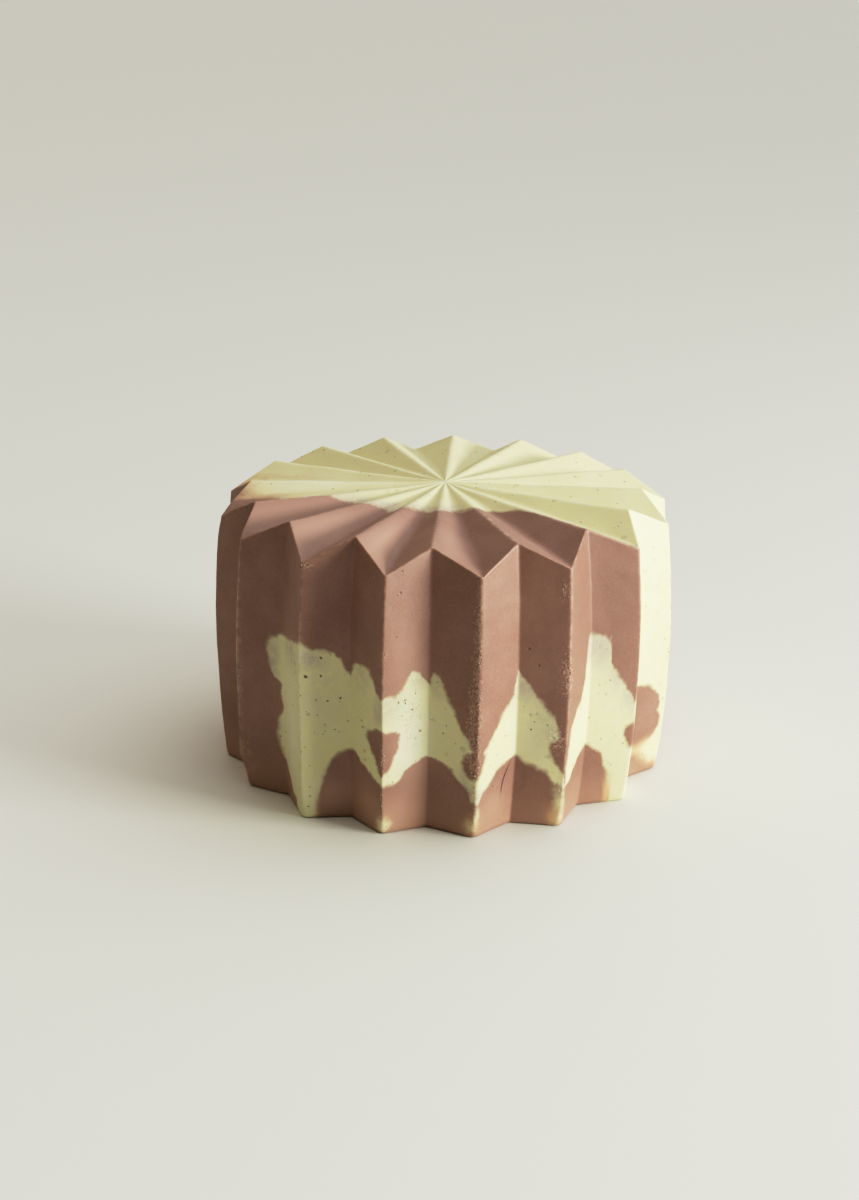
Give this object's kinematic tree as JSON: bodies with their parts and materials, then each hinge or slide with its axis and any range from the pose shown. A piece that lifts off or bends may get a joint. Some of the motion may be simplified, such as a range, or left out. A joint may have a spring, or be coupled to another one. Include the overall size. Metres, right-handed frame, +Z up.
{
  "type": "paskha",
  "caption": "Marbled vanilla and cocoa curd dessert, turned out of a pleated mould: a star-shaped drum with upright pleats and a folded star top.",
  "frame": {"origin": "middle of the base, on the plane it stands on", "axes": "+Z up through the crown of the star, -Y through the front ridge, +X to the right seen from the front"},
  "size_m": [0.1409, 0.1411, 0.0865],
  "materials": {
    "curd": "matt, slightly moist pressed curd, marbled in cocoa brown and pale cream"
  },
  "bodies": {
    "root": {"paskha": "curd"}
  },
  "joints": []
}
